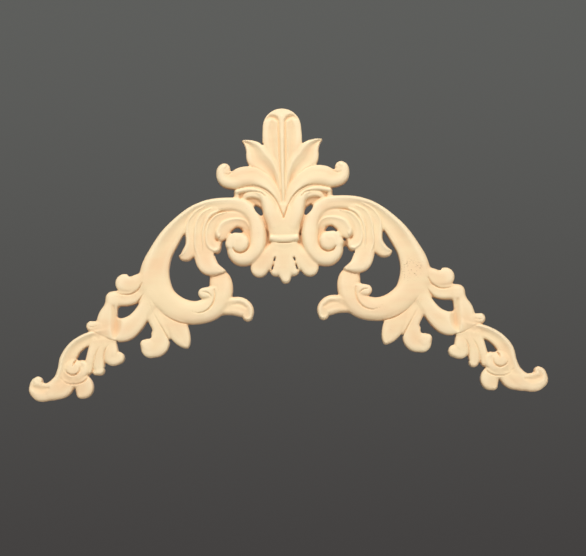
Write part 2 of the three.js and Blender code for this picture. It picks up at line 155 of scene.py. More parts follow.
@dataclass(frozen=True)
class Stroke:
    """One stroke of the carving."""

    name: str
    section: Section
    stations: tuple[Station, ...]
    side: Side = Side.BOTH
    action: Action = Action.RAISE
    second: Section | None = None
    softness: float = 0.8
    step: float = 0.35
    flank: float = 2.6
    spare: float = 3.0

    @staticmethod
    def knot_gap(start: Array, end: Array) -> float:
        """The curve's own distance between two stations: the square root of the true one."""
        return max(math.sqrt(np.linalg.norm((end - start)[:3])), SHORTEST_GAP)

    def samples(self) -> Array:
        """Points along the stroke, on a centripetal Catmull-Rom curve through its stations.

        Returns:
            Rows of x, z, half-width, crown, mix, heading x and heading z.
        """
        points = np.array([tuple(s) + (0.0,) * (STATION_SIZE - len(s)) for s in self.stations])
        if len(points) == 1:
            return np.hstack([points, [[0.0, 1.0]]])
        rows = []
        last = len(points) - 2
        for i in range(last + 1):
            here, there = points[i], points[i + 1]
            before = points[i - 1] if i else 2 * here - there
            after = points[i + 2] if i < last else 2 * there - here
            gap_in = self.knot_gap(before, here)
            gap = self.knot_gap(here, there)
            gap_out = self.knot_gap(there, after)
            leave = (here - before) / gap_in - (there - before) / (gap_in + gap) + (there - here) / gap
            reach = (there - here) / gap - (after - here) / (gap + gap_out) + (after - there) / gap_out
            leave, reach = leave * gap, reach * gap
            count = max(2, math.ceil(np.linalg.norm((there - here)[:2]) / self.step))
            t = (np.arange(count + (i == last)) / count)[:, None]
            rows.append(here + leave * t + (3 * (there - here) - 2 * leave - reach) * t**2
                        + (2 * (here - there) + leave + reach) * t**3)
        path = np.vstack(rows)
        heading = np.gradient(path[:, :2], axis=0)
        heading /= np.maximum(np.linalg.norm(heading, axis=1, keepdims=True), SHORTEST_STEP)
        path[:, 2] = np.maximum(path[:, 2], NARROWEST_STROKE)
        return np.hstack([path, heading])

    def read(self, x: Array, z: Array) -> tuple[Array, Array, Array, Array, Array]:
        """Measures points against the stroke as drawn on the right side.

        Args:
            x: places across the onlay, in mm.
            z: places up the onlay, in mm.

        Returns:
            How far inside each point is, in mm, its place across the stroke, and the crown, the mix and
            the half-width there.
        """
        inside = np.full(x.shape, -FAR_AWAY)
        nearest = np.full(x.shape, -FAR_AWAY)
        across = np.zeros(x.shape)
        crown = np.zeros(x.shape)
        mix = np.zeros(x.shape)
        width = np.ones(x.shape)
        for px, pz, half, top, blend, hx, hz in self.samples():
            dx, dz = x - px, z - pz
            distance = np.hypot(dx, dz)
            share = 1.0 - distance / half
            closer = share > nearest
            nearest = np.where(closer, share, nearest)
            across = np.where(closer, np.copysign(distance / half, hx * dz - hz * dx), across)
            crown = np.where(closer, top, crown)
            mix = np.where(closer, blend, mix)
            width = np.where(closer, half, width)
            inside = np.maximum(inside, half - distance)
        return inside, across, crown, mix, width

    def near(self, x: Array, z: Array) -> Array:
        """Picks the points that lie in the stroke's own box, with some spare around it.

        Args:
            x: places across the onlay, in mm.
            z: places up the onlay, in mm.

        Returns:
            Whether each point lies in it.
        """
        columns = np.array([s[:3] for s in self.stations])
        spare = columns[:, 2].max() + self.spare
        low, high = columns[:, :2].min(axis=0) - spare, columns[:, :2].max(axis=0) + spare
        return (x > low[0]) & (x < high[0]) & (z > low[1]) & (z < high[1])

    def height(self, across: Array, crown: Array, mix: Array, width: Array) -> Array:
        """Works out the stroke's surface, with flanks that fall away steeply past its edges.

        Args:
            across: the place across the stroke, from -1 to 1 between its edges.
            crown: the height of its crown, or of a groove's floor, in mm.
            mix: the share of the second cross-section.
            width: the half-width, in mm.

        Returns:
            The height of the surface at each point, in mm.
        """
        share = smooth_share(self.section.value, across)
        if self.second is not None:
            share = share * (1.0 - mix) + smooth_share(self.second.value, across) * mix
        past = np.clip(np.abs(across) - 1.0, 0.0, None) * width
        if self.action is Action.CUT:
            return crown + (TOP_OF_CARVING - crown) * share + past * self.flank
        return crown * share - past * self.flank


def raised(name: str, section: Section, *stations: Station, side: Side = Side.BOTH, softness: float = 0.8,
           second: Section | None = None) -> Stroke:
    """A raised stroke. Its stations are x, z, half-width, crown and, if any, the second section's share."""
    return Stroke(name, section, stations, side, Action.RAISE, second, softness)


def groove(name: str, *stations: Station, side: Side = Side.BOTH, softness: float = 0.4) -> Stroke:
    """A groove cut into the carving. The crown of its stations is the height of its floor."""
    return Stroke(name, Section.VALLEY, stations, side, Action.CUT, None, softness)


def pierced(name: str, *stations: Station, side: Side = Side.BOTH) -> Stroke:
    """A hole sawn right through."""
    return Stroke(name, Section.FLAT, stations, side, Action.PIERCE)


def crest_leaf() -> list[Stroke]:
    """The tall fluted leaf on the axis, its midrib and the pointed leaf beside it.

    Returns:
        The strokes.
    """
    return [
        raised("crest leaf", Section.PAD, (0, 62.2, 11.2, 8.3), (0.1, 57, 11.5, 8.3), (0, 53, 11.2, 8.1),
               (0, 47, 8, 7.8), (0, 40, 5.4, 7.6), (0, 30, 3.6, 7.3), (0, 20, 2.3, 7.0), (0, 12, 0.8, 6.6),
               side=Side.RIGHT),
        groove("flute", (5.4, 66.6, 2.2, 7.6), (5.7, 62, 4.6, 7.3), (5.9, 58, 5.0, 7.2),
               (5.4, 52, 4.6, 7.1), (4.3, 43, 3.3, 6.9), (3.3, 34, 2.3, 6.7), (2.6, 26, 1.6, 6.5),
               (1.6, 17, 0.9, 6.3), softness=0.9),
        groove("rib line", (2.0, 65.5, 0.9, 6.9), (1.9, 52, 1.2, 6.6), (1.7, 38, 1.1, 6.4),
               (1.4, 26, 0.9, 6.2), (0.8, 16, 0.7, 6.0), softness=0.7),
        groove("crest hollow", (2.2, 66.2, 1.2, 7.0), (4.0, 68.0, 2.4, 6.7),
               (6.6, 68.5, 2.5, 6.7), (9.0, 67.0, 1.4, 7.3), softness=1.0),
        raised("midrib", Section.DOME, (0, 68.5, 1.2, 8.3), (0, 50, 1.1, 8.2), (0, 30, 0.9, 8.0),
               (0, 12, 0.5, 6.9), side=Side.RIGHT),
        raised("pointed leaf", Section.BLADE, (2.5, 27, 1.2, 7.0), (5.5, 35, 3.4, 7.5), (10, 41, 6, 7.9),
               (13.8, 44.5, 6.9, 8.0), (15.8, 49, 5.3, 8.0), (18.6, 52.2, 3.1, 7.7), (21.2, 54.2, 1.4, 7.2),
               (22.9, 55, 0.5, 6.9), softness=0.9),
    ]


def calyx() -> list[Stroke]:
    """The vase-shaped calyx, whose flanks rise into the hoods, and the low ground beside it.

    Returns:
        The strokes.
    """
    return [
        raised("calyx", Section.DOME, (0, 14, 4, 8.0), (0, 10, 9.0, 8.5), (0, 4, 9.2, 8.6), (0, -2, 8, 8.3),
               side=Side.RIGHT),
        raised("hood", Section.DOME, (4.8, 6, 4.5, 8.4), (6.9, 12, 4.7, 8.6), (8.4, 17, 4.1, 8.6),
               (10.3, 20.9, 3.2, 8.5), (13.6, 24.4, 2.2, 8.4), (18.5, 26.4, 1.7, 8.3), (23, 26.2, 1.5, 8.2),
               (26.8, 25.4, 1.5, 7.9), softness=0.6),
        raised("hood ground", Section.FLAT, (12, 17.5, 3, 5.8), (14, 20.5, 4.5, 5.8), (20, 22.5, 3.6, 5.8),
               (25, 23.4, 3.1, 5.8)),
        raised("hood lip", Section.PAD, (11.6, 19.4, 1.2, 7.0), (13.5, 22.2, 1.7, 7.7),
               (17.5, 23.6, 1.8, 7.8), (21.3, 22.9, 1.6, 7.6), (23.0, 21.2, 1.1, 7.2), softness=0.6),
        raised("gap ground", Section.FLAT, (12.2, 14, 2.2, 5.6), (11.4, 9, 2.4, 5.8), (10.2, 3.5, 2.2, 3.4),
               (9.8, -4.6, 2.4, 3.6), softness=0.4),
    ]


def fan_ground() -> list[Stroke]:
    """Low ground behind the volute and the fan of leaves.

    Returns:
        The strokes.
    """
    return [
        raised("eye ground", Section.FLAT, (22, 4.5, 3, 6.6), (20.8, -3, 2.6, 6.6), (23, -9, 2.5, 6.6)),
        raised("fan ground", Section.FLAT, (23, 10, 3, 7.2), (29.5, 11.6, 3.2, 7.3), (37, 9.5, 3.6, 7.3),
               (42, 4, 4, 7.3), (43.5, -2, 4, 7.2)),
        raised("fan ground low", Section.FLAT, (46, 12, 4, 7.3), (49, 5, 5.5, 7.3), (49, -3, 6, 7.3)),
        raised("arm ground", Section.FLAT, (40, 14.5, 3, 7.3), (50, 9, 4, 7.3), (54.5, 3, 3, 7.3)),
        raised("cheek ground", Section.FLAT, (37.5, -3.5, 1.5, 6.4), (39.5, -7.5, 2.4, 6.6)),
        raised("cheek bridge", Section.FLAT, (34.3, -5.6, 1.4, 3.4), (37, -5.6, 1.4, 3.4), side=Side.RIGHT),
    ]


def scroll_leaves() -> list[Stroke]:
    """Leaves and lobes that spring from under the big scroll.

    Returns:
        The strokes.
    """
    return [
        raised("pointed low leaf", Section.PAD, (68, -46, 5, 7.2), (63, -53, 6.3, 7.5),
               (60.2, -58.2, 4.9, 7.4), (58.1, -61.8, 2.5, 7.2), (57.3, -63.6, 0.8, 7.0), softness=0.6),
        raised("round low leaf", Section.PAD, (78, -40, 5, 7.2), (75.1, -47, 4.7, 7.5),
               (72.8, -54, 4.4, 7.6), (74.3, -61.7, 6.5, 7.6), (78.5, -64.1, 5.3, 7.6)),
        raised("round leaf hook", Section.PAD, (79.4, -62.4, 3.6, 7.6), (81.8, -61.5, 2.5, 7.5)),
        raised("middle lobe", Section.PAD, (83.5, -32, 4.6, 7.3), (90, -35, 3.9, 7.5),
               (96, -34.9, 4.4, 7.6), (99.8, -35, 4.1, 7.7)),
        raised("upper lobe", Section.PAD, (80, -25, 5, 7.8), (85, -26, 4.8, 7.8), (89, -27.3, 4.7, 7.8),
               (92.8, -26.4, 5.4, 7.9)),
        raised("side leaf", Section.PAD, (99.6, -35.5, 4, 7.6), (101.2, -40.5, 4.1, 7.7),
               (103.1, -46, 5.5, 7.7), (104.5, -51, 5.4, 7.6)),
        raised("small bud", Section.PAD, (108, -51, 3, 7.4), (112.4, -50.7, 3, 7.4)),
        raised("joint ground", Section.FLAT, (97, -50, 4, 7.0), (103, -53, 6, 7.1), (109, -58, 4.5, 7.0)),
        raised("centre leaf", Section.TURNED, (36, -41.4, 4, 7.3), (30, -40.6, 5.1, 7.6),
               (25.7, -41.3, 5.4, 7.7), (22.6, -43.4, 4.3, 7.6), (22, -46.4, 3.1, 7.4)),
    ]


def big_scroll(side: Side, volute_in: float) -> Stroke:
    """The big scroll: from the volute over the top, down the arm, round the loop and up to the cuff.

    Args:
        side: the side it is carved on.
        volute_in: how much nearer to the eye the volute's outer turn is, in mm.

    Returns:
        The stroke.
    """
    return raised(
        "scroll", Section.DOME,
        (30.6 - volute_in, -5, 3.3, 9.1), (30.2 - volute_in, -10.3 + 0.5 * volute_in, 3.8, 9.1),
        (26.5 - 0.5 * volute_in, -13.7 + volute_in, 4.4, 9.1), (21, -13 + 0.8 * volute_in, 4.8, 9.1),
        (16.6, -8, 4.8, 9.0), (15.3, -1, 4.8, 8.9), (16, 6.5, 4.6, 8.7), (19.3, 13.3, 4.3, 8.5, 0.1),
        (24.5, 17.1, 4.3, 8.4, 0.3), (32, 18.3, 3.8, 8.4, 0.5), (42, 17.3, 4.1, 8.4, 0.8),
        (50, 14.8, 4.0, 8.5, 1), (55.5, 11.0, 4.5, 8.6, 1), (61.5, 5.4, 5.1, 8.6, 1),
        (66.7, -1.1, 6.0, 8.6, 1), (71.8, -9.6, 6.7, 8.5, 0.7), (75.2, -19, 8.2, 8.4, 0.4),
        (75.3, -28, 9.2, 8.3, 0.1), (70, -36.1, 7.6, 8.3), (61, -42.4, 7.1, 8.3),
        (51, -43.9, 6.6, 8.3), (42.3, -40.9, 6.9, 8.3), (37.2, -33.7, 6.5, 8.1), (37.2, -27, 6.5, 7.6),
        (38.6, -23.5, 4.8, 6.9), side=side, second=Section.RIMMED)


def tail_lobes() -> list[Stroke]:
    """The stem that leaves the big scroll, and the lobes along the tail.

    Returns:
        The strokes.
    """
    return [
        raised("stem", Section.PAD, (77, -34, 5, 7.9), (82, -42.5, 4.5, 8.0), (87, -49, 5.3, 8.1),
               (93, -53, 6.4, 8.1), (99, -54.6, 5.2, 8.0)),
        raised("third lobe", Section.PAD, (110.5, -59.5, 2.5, 7.3), (112.3, -66, 2.6, 7.5),
               (113.8, -72, 2.5, 7.4), (114.3, -75.8, 2.3, 7.3)),
        raised("second lobe", Section.PAD, (106.5, -60, 3, 7.3), (108, -66, 3.2, 7.5),
               (108.6, -72, 3.6, 7.4), (108.0, -75.6, 2.9, 7.2)),
        raised("lobe stub", Section.PAD, (107.4, -76.8, 1.7, 7.0), (110.4, -77.2, 1.5, 7.0),
               side=Side.LEFT),
        raised("first lobe", Section.PAD, (102.6, -60.4, 4.6, 7.3), (101.4, -65.8, 4.4, 7.6),
               (100.7, -68.8, 4.6, 7.5), (96.9, -69.0, 3.4, 7.3)),
        raised("tail round lobe", Section.PAD, (123, -82.5, 3, 7.3), (117.6, -83, 4.7, 7.5),
               (116.8, -86.2, 5.1, 7.4), (119.1, -89.7, 2.2, 7.1)),
        raised("tail leaf", Section.PAD, (124, -82.5, 2.5, 7.3), (129, -86.2, 4.7, 7.5),
               (135, -87.5, 5, 7.6)),
        raised("tail ground", Section.FLAT, (118, -74.5, 2.5, 6.4), (120, -78, 2.5, 6.4),
               (126, -78, 2.5, 6.4), (125, -71.5, 1.5, 6.4)),
    ]


def tail_scroll(side: Side, longer: float) -> list[Stroke]:
    """The tail's rimmed band with its curled end, and the ring and button it winds round.

    Args:
        side: the side it is carved on.
        longer: how much further out the curled end reaches, in mm.

    Returns:
        The strokes.
    """
    lean = 0.35 * longer
    return [
        raised("tail scroll", Section.PAD, (103, -55.6, 4.3, 7.6, 0.3),
               (109 + lean, -57 - lean, 3.9, 7.8, 0.8), (116 + lean, -59 - lean, 3.7, 7.9, 1),
               (122.3 + lean, -63.1 - lean, 4.0, 8.0, 1), (126.8 + lean, -69.3, 4.5, 8.0, 1),
               (128.7 + lean, -75.7, 4.1, 8.0, 0.8), (131.2 + lean, -81.9, 4.3, 7.8, 0.4),
               (137, -87.3, 4.7, 7.8, 0.1), (142.7 + 0.5 * longer, -87.8, 5.4, 7.6),
               (145.2 + longer, -86.7, 5.0, 7.4), side=side, second=Section.RIMMED),
        raised("tail curl", Section.PAD, (146 + longer, -86, 4.2, 7.4), (146.1 + longer, -83, 3.3, 7.5),
               (145 + longer, -81.3, 2.4, 7.4), side=side),
        raised("tail ring", Section.PAD, (122.3, -76.3, 6.5, 7.9), side=side, softness=0.5),
        raised("tail ring end", Section.DOME, (120, -78.5, 3.6, 7.9), (116.7, -76.6, 2.8, 7.9),
               (116.2, -73.4, 2.2, 7.8), (117.8, -71.7, 1.8, 7.7), side=side, softness=0.5),
        raised("tail button", Section.PAD, (123.2, -74.9, 3.9, 7.7), side=side, softness=0.8),
    ]


def fifth_leaf(side: Side, *tip: Station) -> Stroke:
    """The fan's outermost leaf, whose tip differs from side to side.

    Args:
        side: the side it is carved on.
        tip: its last stations.

    Returns:
        The stroke.
    """
    return raised("fifth leaf", Section.OVERLAP, (45.5, 17, 0.8, 8.1), (51, 13, 1.6, 8.2),
                  (54.5, 7.5, 2.1, 8.2), (54.7, 1.5, 2.5, 8.2), (54.4, -5, 3.0, 8.1), *tip,
                  side=side, softness=0.4)


def fan_of_leaves() -> list[Stroke]:
    """The bud in the loop, the stem down to the cuff and the fan of leaves that opens from it inside the arm.

    Returns:
        The strokes.
    """
    return [
        raised("bud", Section.PAD, (41.5, -31.5, 2.5, 7.9), (45, -32.8, 3.3, 8.2), (47.2, -33, 3.1, 8.1)),
        raised("stem to cuff", Section.PAD, (46.5, -4, 6, 7.5), (46.3, -12, 5.9, 8.0),
               (44.4, -16.6, 5.6, 8.4), (41.3, -18.7, 3.8, 8.6), (38, -19.8, 2.3, 8.5),
               (35.3, -20.3, 0.9, 8.0), softness=0.4),
        fifth_leaf(Side.RIGHT, (56.5, -9.9, 3.6, 7.9), (60, -11.3, 2.2, 7.6), (62.1, -10.6, 0.5, 7.2)),
        fifth_leaf(Side.LEFT, (56, -9.9, 3.6, 7.9), (58.8, -11.6, 2.0, 7.6), (60.8, -11.1, 0.6, 7.2)),
        raised("fourth leaf", Section.OVERLAP, (42, 15.5, 1, 8.0), (46.5, 12.5, 1.8, 8.2),
               (49.3, 7.5, 2.2, 8.3), (50.2, 1, 2.3, 8.3), (50.2, -6, 2.4, 8.1), (48.5, -12, 2.0, 7.9),
               softness=0.4),
        raised("third leaf", Section.DOME, (38, 14.4, 0.8, 8.0), (42.5, 12, 1.2, 8.2), (45.6, 7, 1.2, 8.3),
               (47, 1, 1.0, 8.3), (46.9, -8, 0.8, 8.0), softness=0.4),
        raised("second leaf", Section.OVERLAP, (33, 13.2, 0.8, 7.7), (38.5, 10.8, 1.8, 8.1),
               (42.3, 6, 2.5, 8.2), (43.6, 0, 2.7, 8.3), (42.3, -5, 3.3, 8.3), (40.3, -6.6, 3.2, 8.1),
               softness=0.4),
        raised("first leaf", Section.OVERLAP, (20.6, 4, 1.5, 7.4), (23.5, 7, 2.8, 7.8),
               (28.5, 7.6, 3.0, 8.2), (33.8, 5.2, 4.2, 8.4), (36, 1.7, 4.3, 8.4), softness=0.4),
    ]


def volute_eye() -> list[Stroke]:
    """The flat button at the heart of the volute and the turn that runs into it.

    Returns:
        The strokes.
    """
    return [
        raised("volute turn", Section.PAD, (31, -5, 3.1, 9.2), (29.4, -1.7, 3.0, 9.3),
               (26, -1.4, 2.6, 9.4)),
        raised("volute eye", Section.PAD, (25.7, -4.4, 5.2, 9.6)),
    ]


def skirt() -> list[Stroke]:
    """The lobed skirt below the calyx and the collar between them.

    Returns:
        The strokes.
    """
    return [
        raised("skirt side lobe", Section.PAD, (6.5, -9, 4.0, 7.4), (10, -13.5, 4.8, 7.8),
               (14.6, -19.1, 5.1, 7.6)),
        raised("skirt shoulder", Section.PAD, (4.6, -13, 3.4, 7.8), (5.2, -20.3, 3.5, 7.6)),
        raised("skirt centre", Section.PAD, (0, -7, 7.8, 8.0), (0, -14, 7.0, 8.1), (0, -19.6, 5.0, 8.0),
               (0.5, -25.2, 2.9, 7.7), side=Side.RIGHT),
        raised("collar", Section.DOME, (-7.2, -2.0, 1.9, 8.7), (0, -2.5, 2.3, 8.9), (7.2, -2.0, 1.9, 8.7),
               side=Side.RIGHT, softness=1.3),
    ]


def curling_leaf() -> list[Stroke]:
    """The leaf that curls out above each scroll.

    Returns:
        The strokes.
    """
    return [
        raised("curling leaf", Section.CURL, (1.6, 14, 0.9, 7.4), (3.8, 20.5, 2.4, 7.9),
               (6.8, 26.2, 3.6, 8.3), (11, 30.5, 4.7, 8.5), (17, 33.8, 5.8, 8.5), (23.3, 33.8, 5.9, 8.5),
               (28.5, 32.3, 5.1, 8.3), (33.6, 33.8, 4.7, 8.2), (34.6, 37.6, 3.9, 8.1), (34, 38.6, 3.5, 8.0),
               softness=0.6),
        raised("hood flank", Section.DOME, (27, 25, 1.3, 7.3), (26.9, 22.5, 1.6, 7.0)),
    ]


def head_cuts() -> list[Stroke]:
    """Grooves, gaps and sawn holes of the head, the volutes and the fans.

    Returns:
        The strokes.
    """
    return [
        groove("hood line", (0, 9.6, 0.7, 6.5), (1.4, 13.5, 0.8, 6.3), (3.2, 18, 0.8, 6.3),
               (6.2, 22.6, 0.8, 6.4), (10, 26, 0.8, 6.5), (15, 28.3, 0.8, 6.6), (20.5, 28.6, 0.8, 6.7),
               (27, 27.2, 0.7, 6.6)),
        groove("curl line", (3.4, 26.5, 0.4, 7.0), (6.4, 32.4, 0.7, 6.7),
               (10.8, 36.6, 0.8, 6.6), (16, 39.3, 0.8, 6.6), (21.5, 40.4, 0.7, 6.4)),
        groove("lip line", (10.4, 22, 0.4, 7.2), (12.6, 24.2, 0.6, 6.9),
               (17.5, 25.2, 0.6, 6.8), (22, 24.8, 0.6, 6.8), (24.8, 23.6, 0.5, 6.6)),
        groove("hood pit", (24.9, 21.8, 0.9, 4.8), (25.2, 24, 0.9, 5.2)),
        groove("collar line", (-7.2, -4.4, 0.5, 6.9), (0, -4.9, 0.6, 6.7),
               (7.2, -4.4, 0.5, 6.9), side=Side.RIGHT),
        groove("volute groove", (23.0, 2.6, 0.4, 6.6), (21.3, 0.4, 0.6, 6.6),
               (20.1, -3.6, 0.7, 6.6), (21.2, -7.9, 0.7, 6.6), (25, -10.2, 0.8, 6.6),
               (28.4, -9.3, 0.7, 6.8), (29.9, -7.3, 0.4, 7.8)),
        groove("calyx gap", (11.9, 9.8, 0.4, 6.0), (10.6, 5, 0.8, 4.4),
               (9.4, 0.4, 1.1, 2.4), (9.4, -4.2, 0.9, 3.4)),
        groove("curl hollow", (29.6, 36.6, 0.5, 6.4), (32, 35.4, 0.9, 6.9),
               (33.8, 36, 0.7, 7.4)),
        groove("leaf line", (47.8, 2, 0.5, 7.0), (47.9, -4, 0.6, 6.9),
               (47.5, -8.6, 0.4, 7.3)),
        groove("cuff line", (34.2, -21.6, 0.4, 5.9), (37.4, -22.3, 0.7, 5.7),
               (40.4, -23.3, 0.7, 5.7), (43.9, -23.7, 0.6, 5.8)),
        groove("skirt line", (5.8, -14, 0.6, 6.4), (7.0, -19, 0.8, 5.8),
               (8.4, -22.6, 0.7, 5.2)),
        pierced("calyx hole", (13.1, 12.3, 1.1, 0), (14.5, 14.5, 1.8, 0), (15.9, 16.2, 1.3, 0)),
        pierced("volute hole", (24.2, 2.3, 0.4, 0), (26, 3.0, 1.0, 0), (28, 2.9, 1.1, 0),
                (30.3, 1.4, 0.5, 0)),
        pierced("skirt slit high", (5.4, -13.3, 0.35, 0), (5.9, -14.7, 0.55, 0)),
        pierced("skirt slit low", (6.8, -18, 0.35, 0), (7.3, -19.8, 0.5, 0)),
        pierced("gap pinhole", (9.3, 0, 0.5, 0), side=Side.RIGHT),
    ]


def tail_cuts() -> list[Stroke]:
    """Grooves of the loop, the leaves under it and the tail.

    Returns:
        The strokes.
    """
    return [
        groove("loop crease", (41, -31, 0.6, 7.1), (40.8, -35, 0.8, 6.9),
               (42.2, -39.6, 0.8, 6.9), (45.6, -43, 0.7, 7.1), (50, -44.4, 0.6, 7.3),
               (54, -43.6, 0.3, 7.9)),
        groove("bud line", (42.8, -35.2, 0.4, 7.3), (44.2, -33.2, 0.6, 7.0),
               (46.6, -32.3, 0.6, 7.0), (48.6, -32.6, 0.3, 7.4)),
        groove("low leaf crease", (55.5, -50.6, 0.7, 5.4), (61, -49.6, 0.8, 5.9),
               (67, -47, 0.8, 6.3), (72, -43.2, 0.7, 6.8), (76.3, -38.3, 0.5, 7.3),
               (79.2, -33.5, 0.3, 7.8)),
        groove("low leaf split", (67.6, -59.4, 0.8, 5.4), (70.2, -54.8, 0.7, 6.4),
               (74, -48.5, 0.6, 6.8), (77.3, -42, 0.5, 7.2), (79.4, -36.4, 0.3, 7.7)),
        groove("centre leaf hollow", (31, -39.9, 1.5, 7.1), (26.5, -39.8, 3.2, 6.7),
               (22.8, -41.8, 2.4, 6.8), softness=0.8),
        groove("upper lobe crease", (82.8, -26.4, 0.5, 6.9), (85, -30.2, 0.8, 6.1),
               (89.4, -32.7, 0.8, 6.0), (93.6, -32.9, 0.7, 6.2), (97.4, -31.7, 0.5, 6.6)),
        groove("middle lobe crease", (82.2, -32.8, 0.5, 6.9), (84, -35.5, 0.8, 5.9),
               (86.2, -38.2, 0.8, 5.0)),
        groove("side hollow", (99.4, -40, 2.6, 6.9), (98.0, -46, 4.6, 6.0),
               (98.2, -52, 4.6, 6.2), (99, -57, 2.6, 7.2), softness=0.8),
        groove("stem line", (97, -59.6, 0.5, 6.4), (101.5, -58.6, 0.6, 6.5),
               (106, -56.4, 0.5, 6.8), (111, -54, 0.5, 6.6), (114.8, -53.4, 0.5, 6.0)),
        groove("small bud line", (109.2, -50.6, 0.3, 6.9), (111.6, -51.3, 0.5, 6.7),
               (113.8, -51, 0.4, 6.7)),
        groove("first split", (101.4, -60.6, 0.4, 6.9), (104.2, -63.8, 0.6, 6.2),
               (105.4, -69, 0.7, 6.0), (104.9, -73.2, 0.8, 5.2)),
        groove("second split", (106.4, -60.6, 0.4, 7.0), (109.6, -65.8, 0.6, 6.5),
               (111.4, -72, 0.7, 6.2), (112.2, -77.8, 0.8, 5.4)),
        groove("ring groove", (118.9, -73.6, 0.5, 6.8), (119.7, -76.7, 0.7, 6.5),
               (122.8, -78.6, 0.8, 6.4), (126.4, -77.4, 0.7, 6.6), (128.1, -74.4, 0.4, 7.2)),
        groove("rim line", (106, -57.5, 0.4, 7.2), (112, -58.8, 0.5, 7.0),
               (118.5, -61.9, 0.6, 6.8), (123.8, -67, 0.6, 6.8), (126.6, -72.5, 0.5, 7.0),
               (128.5, -78, 0.3, 7.4)),
        groove("tail line", (113.8, -79.2, 0.6, 5.8), (117, -82.4, 0.7, 6.2),
               (122.5, -83.8, 0.7, 6.2), (127.5, -82.8, 0.6, 6.5), (131, -79.5, 0.4, 7.0)),
        groove("button pit", (121.6, -70.4, 0.9, 5.4), (122.6, -71.9, 0.8, 5.8),
               (123.1, -73.3, 0.5, 6.6)),
        groove("lobe notch", (122.3, -87, 0.8, 4.6), (122.7, -84.8, 0.5, 6.2)),
        groove("tail end hollow", (137.5, -85.8, 1.8, 7.4), (142, -86.2, 4.8, 6.9),
               (146.2, -84.8, 4.0, 6.9), (146.2, -82.2, 2.0, 7.1), softness=0.9),
        pierced("round leaf notch", (79.6, -54.5, 1.6, 0), (78.8, -57.6, 0.9, 0), (80.6, -57.9, 0.6, 0)),
        pierced("upper lobe notch", (89.4, -21.6, 0.9, 0), (90.2, -21.7, 0.7, 0)),
        pierced("bud notch", (48.9, -36.3, 0.5, 0), (50.9, -36.1, 0.9, 0)),
        pierced("tail notch", (101.2, -73.9, 0.5, 0), (104.6, -74.6, 0.9, 0)),
    ]


def all_strokes() -> list[Stroke]:
    """Every stroke of the carving, in the order it is worked.

    Returns:
        The strokes.
    """
    return [
        *crest_leaf(), *calyx(), *fan_ground(), *scroll_leaves(),
        big_scroll(Side.RIGHT, 0.0), big_scroll(Side.LEFT, 1.0), *tail_lobes(),
        *tail_scroll(Side.RIGHT, 0.0), *tail_scroll(Side.LEFT, -1.6),
        *fan_of_leaves(), *volute_eye(), *skirt(), *curling_leaf(), *head_cuts(), *tail_cuts(),
    ]


@dataclass
class Relief:
    """The whole carving as a field over the front."""

    strokes: list[Stroke]
    outline_softness: float = 1.4
    lowest: float = 1.5

    def measure(self, x: Array, z: Array, outline_only: bool = False) -> tuple[Array, Array]:
        """Works the strokes in order.

        Args:
            x: places across the onlay, in mm.
            z: places up the onlay, in mm.
            outline_only: leaves the height out, for speed.

        Returns:
            How far inside the outline each point is, and the height of the carving there, in mm.
        """
        reach = np.full(x.shape, -self.strokes[0].spare)
        top = np.full(x.shape, self.lowest)
        for stroke in self.strokes:
            if outline_only and stroke.action is Action.CUT:
                continue
            for sign in stroke.side.value:
                here = stroke.near(x * sign, z)
                if not here.any():
                    continue
                inside, across, crown, mix, width = stroke.read(x[here] * sign, z[here])
                if stroke.action is Action.RAISE:
                    reach[here] = smooth_larger(reach[here], inside, self.outline_softness)
                elif stroke.action is Action.PIERCE:
                    reach[here] = np.minimum(reach[here], -inside)
                if outline_only or stroke.action is Action.PIERCE:
                    continue
                height = stroke.height(across, crown, mix, width)
                if stroke.action is Action.RAISE:
                    top[here] = smooth_larger(top[here], height, stroke.softness)
                else:
                    top[here] = -smooth_larger(-top[here], -height, stroke.softness)
        return reach, top


